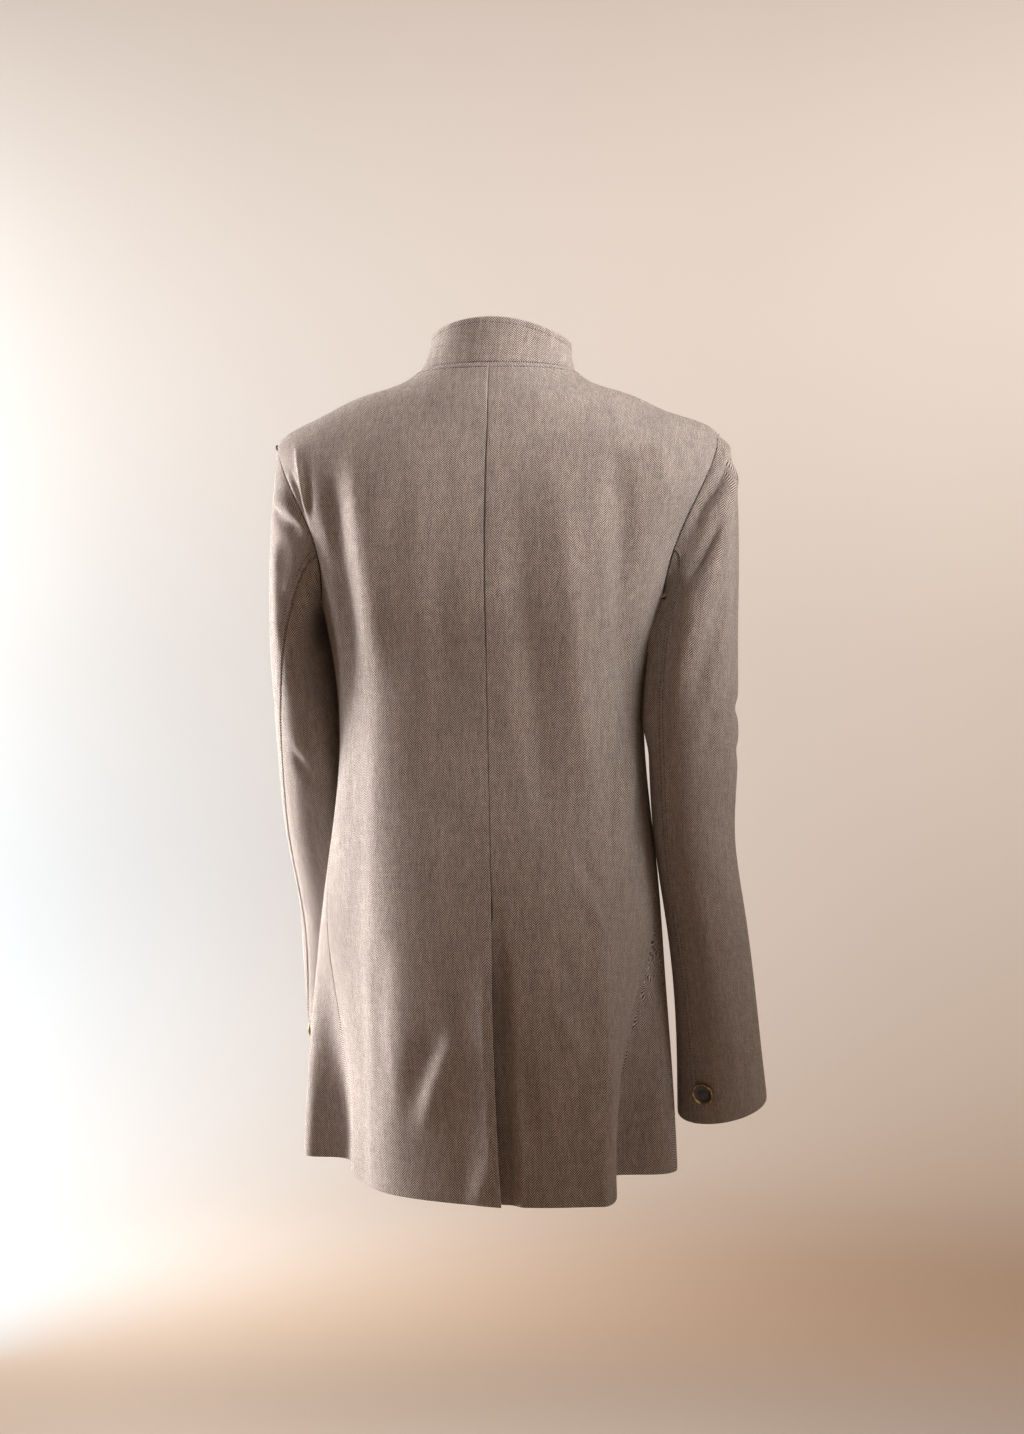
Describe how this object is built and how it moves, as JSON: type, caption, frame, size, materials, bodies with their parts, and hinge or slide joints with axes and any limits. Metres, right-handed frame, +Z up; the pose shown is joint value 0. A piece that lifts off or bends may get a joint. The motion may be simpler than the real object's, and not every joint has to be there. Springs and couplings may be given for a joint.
{
  "type": "herringbone wool coat",
  "caption": "Thigh-length fitted wool coat in herringbone, with a stand collar, two-piece sleeves, a centre back vent and a plain buttoned front, hollow as worn.",
  "frame": {"origin": "middle of the neck, level with the points where the shoulder seams meet the collar: the wearer's neck and shoulders hold the coat there", "axes": "+Z up from the hem to the collar, +Y toward the wearer's back, +X toward the wearer's left"},
  "size_m": [0.4718, 0.3505, 0.7919],
  "materials": {
    "herringbone_wool": "matte",
    "collar_wool": "matte",
    "bronze_button": "satin"
  },
  "bodies": {
    "root": {"back_left": "herringbone_wool", "back_right": "herringbone_wool", "front_left": "herringbone_wool", "front_right": "herringbone_wool", "sleeve_left_upper": "herringbone_wool", "sleeve_left_under": "herringbone_wool", "sleeve_right_upper": "herringbone_wool", "sleeve_right_under": "herringbone_wool", "collar": "collar_wool", "front_button_1": "bronze_button", "front_button_2": "bronze_button", "front_button_3": "bronze_button", "front_button_4": "bronze_button", "front_button_5": "bronze_button", "cuff_button_left": "bronze_button", "cuff_button_right": "bronze_button"}
  },
  "joints": []
}
